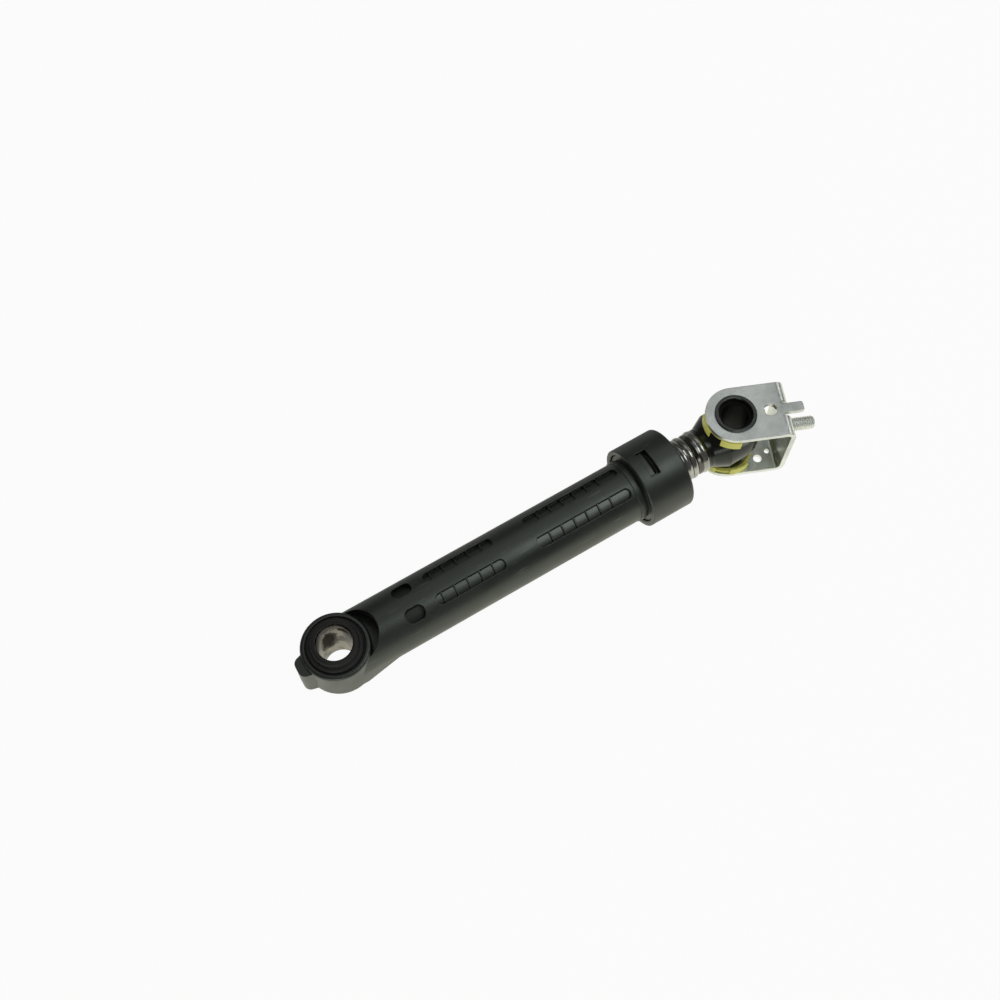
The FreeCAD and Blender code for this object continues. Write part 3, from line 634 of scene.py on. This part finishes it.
# %% [markdown]
# ## Yellow washers
# Thrust washers of pale yellow nylon keep the rod eye off the bracket. Thin nylon isn't opaque:
# light enters, scatters and comes out beside. A brighter plain colour could stand in for that, but
# its shaded sides would turn grey, so a small share of subsurface light is used, with a radius
# under the thickness of a tab.

# %% Yellow nylon
NYLON_DEEP, NYLON_PALE = (0.74, 0.72, 0.14), (0.84, 0.82, 0.22)
NYLON_GLOSSY, NYLON_DULL = 0.38, 0.5
NYLON_EDGE = 0.25

yellow, tree, skin = new_finish(
    "washer_yellow", Specular_IOR_Level=0.45, Subsurface_Weight=0.15,
    Subsurface_Radius=(1.0, 0.8, 0.3), Subsurface_Scale=0.8 * MM,
)
grain = use_group(tree, grain_group, Grain_Scale=2600.0, Flow_Scale=90.0)
worn_and_highlit = use_group(tree, edge_group, Radius=NYLON_EDGE * MM)
dress(
    tree, skin,
    ramp(tree, grain["Flow"], NYLON_DEEP, NYLON_PALE),
    ramp(tree, grain["Flow"], NYLON_GLOSSY, NYLON_DULL),
    grain["Height"], strength=0.1, depth=0.04, normal=worn_and_highlit["Normal"],
)
print("nylon:", yellow.name)

# %% [markdown]
# ## Greased foam
# The lining inside the tube is open foam, soaked in grease. Its pores could be modelled, but there
# are thousands of them, so a Voronoi pattern gives them: the distance to its nearest point is the
# depth of a pore, and it sets colour and gloss too, because grease stands in the pores.

# %% Greased foam
PORE_SCALE = 1100.0
PORE_ENDS = (0.1, 0.6)
FOAM_WET, FOAM_DRY = (0.10, 0.09, 0.07), (0.34, 0.31, 0.25)
FOAM_GLOSSY, FOAM_DULL = 0.3, 0.75

foam, tree, skin = new_finish("greased_foam", Specular_IOR_Level=0.4)
place = tree.nodes.new("ShaderNodeTexCoord").outputs["Object"]
pattern = add(tree, "ShaderNodeTexVoronoi", Scale=PORE_SCALE)
feed(tree, place, pattern.inputs["Vector"])
pores = pattern.outputs["Distance"]
dress(
    tree, skin,
    ramp(tree, pores, FOAM_WET, FOAM_DRY, PORE_ENDS),
    ramp(tree, pores, FOAM_GLOSSY, FOAM_DULL, PORE_ENDS),
    pores, strength=0.7, depth=0.4,
)
print("foam:", foam.name)

# %% [markdown]
# ## Finishes on the solids
# Each solid keeps its mesh, since that is also what moves and touches in the physics, and only
# gets its finish. A finish could be given face by face, but each piece of the damper is of one
# material, so one table is enough: the solid on the left, its finish on the right.

# %% Assign
FINISHES = {
    "housing": housing_black,
    "end_cap": cap_black,
    "eye_bush": rubber,
    "eye_sleeve": sleeve_steel,
    "inner_guide": natural_moulding,
    "outer_guide": natural_moulding,
    "friction_lining": foam,
    "rod_tube": rod_steel,
    "rod_eye": eye_black,
    "washer_upper": yellow,
    "washer_lower": yellow,
    "pivot_bush_upper": bush_black,
    "pivot_bush_lower": bush_black,
    "pivot_sleeve": pin_black,
    "bracket": zinc_sheet,
    "stud": zinc_stud,
}
for name, finish in FINISHES.items():
    slots = nodes[name].material_slots
    if not slots:
        nodes[name].data.materials.append(finish)
    for slot in slots:
        slot.material = finish
print("finished nodes:", len(FINISHES))

# %% [markdown]
# ## Surfaces from arrays
# A turned piece is a profile carried round an axis. Blender's Screw modifier could do that, but
# not a thread that fades out. The grid below takes the points of the whole surface as one array,
# so a shape is only a formula for its radius. Points that meet at a pole or a seam are merged,
# and the normals are turned outwards after that.

# %% Grid to mesh
MERGE_GAP = 1e-7


def grid_piece(name, points, finish):
    """A mesh from points[row, column]; columns close round, doubled points are merged."""
    rows, columns = points.shape[:2]
    index = np.arange(rows * columns).reshape(rows, columns)
    ahead = np.roll(index, -1, axis=1)
    quads = np.stack([index[:-1], ahead[:-1], ahead[1:], index[1:]], axis=-1).reshape(-1, 4)
    mesh = bpy.data.meshes.new(name)
    mesh.from_pydata(points.reshape(-1, 3).tolist(), [], quads.tolist())
    shell = bmesh.new()
    shell.from_mesh(mesh)
    bmesh.ops.remove_doubles(shell, verts=shell.verts, dist=MERGE_GAP)
    bmesh.ops.recalc_face_normals(shell, faces=shell.faces)
    shell.to_mesh(mesh)
    shell.free()
    mesh.shade_smooth()
    mesh.materials.append(finish)
    piece = bpy.data.objects.new(name, mesh)
    bpy.context.scene.collection.objects.link(piece)
    return piece


print("helper: grid_piece")

# %% [markdown]
# ## The foam lining
# Between its two guide rings the rod rubs in a ring of greased foam, which does the damping. It is
# soft, so a hard edged solid would be wrong: its section is a rounded rectangle, slightly dented by
# its pores. A cloth simulation could press it, but a ring that fills its chamber hardly moves.
# The dents only go inwards, so it never leaves the room that its solid has between rod and chamber.

# %% Foam ring
FOAM_ROWS, FOAM_COLUMNS = 48, 220
FOAM_CORNER = 0.35
DENT_DEPTH = 0.22
DENT_MIDDLE, DENT_SWING = 0.5, 0.35
FINE_WAVES, FINE_LEAN, FINE_ROWS = 53, 4, 9
LONG_WAVES, LONG_LEAN = 31, 7


def squared(value):
    """Bends a sine or cosine towards -1 and 1, which turns an ellipse into a superellipse."""
    return np.sign(value) * np.abs(value) ** FOAM_CORNER


def foam_points():
    """A superellipse carried round X; two sets of waves, added, press its skin inwards."""
    low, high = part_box("friction_lining")
    corners = np.array([v.co for v in nodes["friction_lining"].data.vertices]) / MM
    off_axis = np.hypot(corners[:, 1], corners[:, 2])
    r_low, r_high = off_axis.min(), off_axis.max()
    x_mid, x_half = (low.x + high.x) / 2 / MM, (high.x - low.x) / 2 / MM
    r_mid, r_half = (r_high + r_low) / 2, (r_high - r_low) / 2
    section = np.linspace(0.0, 2.0 * np.pi, FOAM_ROWS + 1)[:, None]
    turn = np.linspace(0.0, 2.0 * np.pi, FOAM_COLUMNS, endpoint=False)[None, :]
    wave = np.sin(FINE_WAVES * turn + FINE_LEAN * section) * np.sin(FINE_ROWS * section)
    wave = wave + np.sin(LONG_WAVES * turn - LONG_LEAN * section)
    dent = np.clip(DENT_MIDDLE + DENT_SWING * wave, 0.0, 1.0)
    shrink = 1.0 - DENT_DEPTH / r_half * dent
    along = x_mid + x_half * shrink * squared(np.cos(section))
    radius = r_mid + r_half * shrink * squared(np.sin(section))
    return np.stack([along, radius * np.sin(turn), radius * np.cos(turn)], axis=-1) * MM


lining = grid_piece("foam_lining", foam_points(), foam)
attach(lining, "friction_set")
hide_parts("friction_lining")
print("foam ring faces:", len(lining.data.polygons))

# %% [markdown]
# ## The threaded stud
# The solid of the stud has a plain round shank. The real one has a rolled M6 thread, with a pitch
# of one millimetre. A bump could hint at it, but the thread shows in the outline, so it is real
# geometry. First the solid is measured along its own axis, so that the new stud has its head,
# seat and tip.

# %% Measure the stud
NEAR = 0.05
PIVOT = Vector(next(j for j in frame["joints"] if j["name"] == "bracket_pivot")["pos_m"])
MOUNTS = {mount["name"]: mount for mount in frame["record"]["mounts"]}
STUD_RADIUS = MOUNTS["mounting_stud"]["dims"]["r_mm"]

stud_axis = Vector(MOUNTS["mounting_stud"]["axis"]).normalized()
axis_row = np.array(stud_axis)
corners = np.array([v.co for v in nodes["stud"].data.vertices])
reach = (corners - np.array(PIVOT)) @ axis_row / MM
from_axis = np.linalg.norm(
    (corners - np.array(PIVOT)) / MM - np.outer(reach, axis_row), axis=1
)
head_start, stud_tip = reach.min(), reach.max()
head_radius = from_axis.max()
web_face = float((Vector(MOUNTS["web_face"]["pos_m"]) - PIVOT).dot(stud_axis)) / MM
sheet_inner = reach[from_axis > head_radius - NEAR].max()
seat_radius = from_axis[np.abs(reach - web_face) < NEAR].max()
print("stud from", round(head_start, 2), "to", round(stud_tip, 2), "mm from the pivot")
print("head radius", round(head_radius, 2), "mm, seat radius", round(seat_radius, 2), "mm")

# %% [markdown]
# ### Its profile and thread
# Along the stud the radius follows the profile of head, seat and shank. On the shank a wave that
# climbs one pitch per turn is taken off it. It fades in after a short plain neck at the web, where
# the rolls of a thread can't reach, and at the tip a taper cuts deeper than it. A helix could be
# swept and cut away instead, but a boolean can leave ragged faces on so fine a thread.

# %% Stud profile
PITCH = 1.0
ROWS_PER_PITCH = 14
HEAD_ROUND, HEAD_TOP = 0.25, 0.85
NECK_LENGTH, NECK_SHARE = 0.6, 0.9
TIP_GAP, TIP_SHARE = 0.02, 0.72


def stud_profile():
    """Rows of (place along the axis, radius), and which of them are on the threaded shank."""
    neck_end = web_face + NECK_LENGTH
    seat = np.array([
        (head_start, 0.0),
        (head_start, head_radius * HEAD_TOP),
        (head_start + HEAD_ROUND, head_radius),
        (sheet_inner, head_radius),
        (sheet_inner, seat_radius),
        (web_face, seat_radius),
        (web_face, STUD_RADIUS * NECK_SHARE),
        (neck_end, STUD_RADIUS * NECK_SHARE),
    ])
    rows = int((stud_tip - web_face) / PITCH * ROWS_PER_PITCH)
    places = np.linspace(neck_end, stud_tip - TIP_GAP, rows)
    shank = np.stack([places, np.full(rows, STUD_RADIUS)], axis=-1)
    tip = np.array([(stud_tip, STUD_RADIUS * TIP_SHARE), (stud_tip, 0.0)])
    on_shank = np.repeat([0.0, 1.0, 0.0], [len(seat), rows, len(tip)])
    return np.concatenate([seat, shank, tip]), on_shank


profile, on_shank = stud_profile()
print("stud rows:", len(profile), "of which threaded:", int(on_shank.sum()))

# %% Thread
THREAD_DEPTH = 0.55
FLANK, CREST = 1.25, 0.125
FADE_LENGTH = 0.8
TIP_LENGTH, TIP_TAPER = 1.0, 0.24
STUD_COLUMNS = 64


def stud_points():
    """The profile round the axis; the shank loses a wave that turns once per pitch.

    At the tip it loses a taper instead, wherever that is deeper than the wave.
    """
    along, radius = profile[:, 0], profile[:, 1]
    turn = np.linspace(0.0, 2.0 * np.pi, STUD_COLUMNS, endpoint=False)
    phase = along[:, None] / PITCH - turn[None, :] / (2.0 * np.pi)
    wave = np.abs(2.0 * (phase - np.floor(phase)) - 1.0)
    cut = np.clip(wave * FLANK - CREST, 0.0, 1.0) * THREAD_DEPTH
    fade = np.clip((along - web_face - NECK_LENGTH) / FADE_LENGTH, 0.0, 1.0) * on_shank
    slope = np.clip((along - (stud_tip - TIP_LENGTH)) / TIP_LENGTH, 0.0, 1.0) * on_shank
    taper = slope * STUD_RADIUS * TIP_TAPER
    round_radius = radius[:, None] - np.maximum(cut * fade[:, None], taper[:, None])
    up = Vector((0.0, 0.0, 1.0))
    side = np.array(stud_axis.cross(up))
    ring = np.cos(turn)[:, None] * side + np.sin(turn)[:, None] * np.array(up)
    points = along[:, None, None] * axis_row + round_radius[:, :, None] * ring[None]
    return points * MM + np.array(PIVOT)


stud = grid_piece("threaded_stud", stud_points(), zinc_stud)
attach(stud, "clevis")
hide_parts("stud")
print("stud faces:", len(stud.data.polygons))

# %% [markdown]
# ## The table
# The damper lies on a white table: it rests on its cap and on the rubber boss under its eye, so
# the table is a plane through those two, a touch out of level with the solids. A level plane
# would be simpler, but it would leave a gap under one of them, and the shadow would show it.

# %% Floor
FLOOR_HALF = 4.0
FLOOR_GAP = 0.05 * MM

cap_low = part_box("end_cap")[0]
boss_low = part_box("eye_bush")[0]
slope = (cap_low.z - boss_low.z) / (cap_low.x - boss_low.x)


def table_height(x):
    """The line through the lowest points of boss and cap, less a small gap."""
    return boss_low.z + slope * (x - boss_low.x) - FLOOR_GAP


floor_corners = [
    (x * FLOOR_HALF, y * FLOOR_HALF, table_height(x * FLOOR_HALF))
    for x, y in ((-1, -1), (1, -1), (1, 1), (-1, 1))
]
floor_mesh = bpy.data.meshes.new("floor")
floor_mesh.from_pydata(floor_corners, [], [(0, 1, 2, 3)])
floor = bpy.data.objects.new("floor", floor_mesh)
bpy.context.scene.collection.objects.link(floor)
print("floor slope", round(math.degrees(math.atan(slope)), 2), "degrees")

# %% [markdown]
# ### Its paper
# The table is white to the camera and in reflections, but a small part of it stays ordinary paper,
# so that it keeps the shadow. It could be lit until it is white, but then the damper would be far
# too bright. In mirrors it is white only round the damper: behind it the mirrored table is plain
# paper, and far in front it is duller, which keeps the sides of the tube dark. Its back is clear,
# so that the damper shows from below too.

# %% Table paper
WHITE = (1.0, 1.0, 1.0, 1.0)
PAPER_GREY = (0.46, 0.46, 0.455, 1.0)
MIRROR_TINT = (1.0, 0.99, 0.86, 1.0)
GLOW_SHARE = 0.95
BACK_LIT, BACK_DIM = 20.0, 45.0
FRONT_LIT, FRONT_DIM, FRONT_LEFT = -140.0, -340.0, 0.3


def mix_shaders(tree, share, first, second):
    """A Mix Shader node from the first to the second by a share."""
    item = tree.nodes.new("ShaderNodeMixShader")
    for source, socket in zip((share, first, second), item.inputs):
        feed(tree, source, socket)
    return item.outputs["Shader"]


paper = bpy.data.materials.new("table_paper")
paper.use_nodes = True
tree = paper.node_tree
tree.nodes.clear()
path = tree.nodes.new("ShaderNodeLightPath").outputs
depth = split(tree, tree.nodes.new("ShaderNodeTexCoord").outputs["Object"], "Y")
behind = remap(tree, depth, BACK_DIM * MM, BACK_LIT * MM)
before = remap(tree, depth, FRONT_DIM * MM, FRONT_LIT * MM, low=FRONT_LEFT)
lit = calculate(tree, "MULTIPLY", behind, before)
mirrored = calculate(tree, "MULTIPLY", path["Is Glossy Ray"], lit)
seen = calculate(tree, "MAXIMUM", path["Is Camera Ray"], mirrored)
seen = calculate(tree, "MAXIMUM", seen, path["Is Transmission Ray"])
plain = add(tree, "ShaderNodeBsdfDiffuse", Color=PAPER_GREY).outputs["BSDF"]
glow = add(tree, "ShaderNodeEmission", Strength=1.0)
tint = blend_in(tree, "RGBA", path["Is Camera Ray"], MIRROR_TINT, WHITE)
feed(tree, tint, glow.inputs["Color"])
share = calculate(tree, "MULTIPLY", seen, GLOW_SHARE)
top = mix_shaders(tree, share, plain, glow.outputs["Emission"])
clear = tree.nodes.new("ShaderNodeBsdfTransparent").outputs["BSDF"]
under = tree.nodes.new("ShaderNodeNewGeometry").outputs["Backfacing"]
out = tree.nodes.new("ShaderNodeOutputMaterial")
feed(tree, mix_shaders(tree, under, top, clear), out.inputs["Surface"])
floor_mesh.materials.append(paper)
print("table:", paper.name)

# %% [markdown]
# ### Lamps
# Such a picture is lit by large soft boxes: a key high up on the right, a broad box above the far
# side, a low one in front and a small one beyond the bracket. On black plastic only their
# reflections draw the form, so their places matter more than their power. A sky picture could
# light it too, but a few rectangles give the long soft streaks of the tube, and each can be moved
# by one number.

# %% Lamps
MIDDLE = (Vector(cad_box[0]) + Vector(cad_box[1])) / 2


def softbox(name, angles, distance, size, power, colour):
    """A rectangular lamp facing the middle of the damper; its angles are as the camera's.

    Distance and size are in metres, the power in watts.
    """
    lamp = bpy.data.lights.new(name, "AREA")
    lamp.shape = "RECTANGLE"
    lamp.size, lamp.size_y = size
    lamp.energy = power
    lamp.color = colour
    aim(bpy.data.objects.new(name, lamp), MIDDLE, *angles, distance)


softbox("key_box", (50, 65), 1.0, (0.48, 0.48), power=1.85, colour=(0.95, 1.0, 0.99))
softbox("back_box", (150, 62), 1.1, (0.8, 0.6), power=0.78, colour=(0.97, 0.99, 1.0))
softbox("front_box", (-38, 10), 1.1, (0.6, 0.25), power=2.0, colour=(1.0, 1.0, 0.97))
softbox("side_box", (97, 30), 1.1, (0.4, 0.3), power=0.6, colour=(1.0, 1.0, 0.98))

# %% [markdown]
# ### Round the table
# The light of the room brings dull surfaces to a plain level, at which a colour renders about as
# it is written. A mirror that looks up sees a dim ceiling between the lamps, so that black plastic
# stays black. The camera sees the room white like the table, and so does a mirror that looks
# below the horizon. A backdrop behind the table could do the same, but it would need to stand
# on every side, because the damper is looked at from all round.

# %% World
FILL = 0.5
CEILING = 0.1
HORIZON = 0.0
ROOM_WHITE = 0.97
ROOM_TINT = (0.99, 1.0, 0.94, 1.0)

world = bpy.data.worlds.new("studio")
bpy.context.scene.world = world
world.use_nodes = True
tree = world.node_tree
sky = tree.nodes["Background"]
path = tree.nodes.new("ShaderNodeLightPath").outputs
height = split(tree, tree.nodes.new("ShaderNodeTexCoord").outputs["Generated"], "Z")
below = calculate(tree, "LESS_THAN", height, HORIZON)
mirrored = calculate(tree, "MAXIMUM", path["Is Glossy Ray"], path["Is Transmission Ray"])
table_side = calculate(tree, "MULTIPLY", mirrored, below)
white = calculate(tree, "MAXIMUM", path["Is Camera Ray"], table_side)
room = remap(tree, mirrored, 0.0, 1.0, FILL, CEILING)
feed(tree, blend_in(tree, "RGBA", white, ROOM_TINT, WHITE), sky.inputs["Color"])
feed(tree, remap(tree, white, 0.0, 1.0, room, ROOM_WHITE), sky.inputs["Strength"])
bpy.context.scene.view_settings.view_transform = "Standard"
print("world:", world.name, "with fill", FILL)
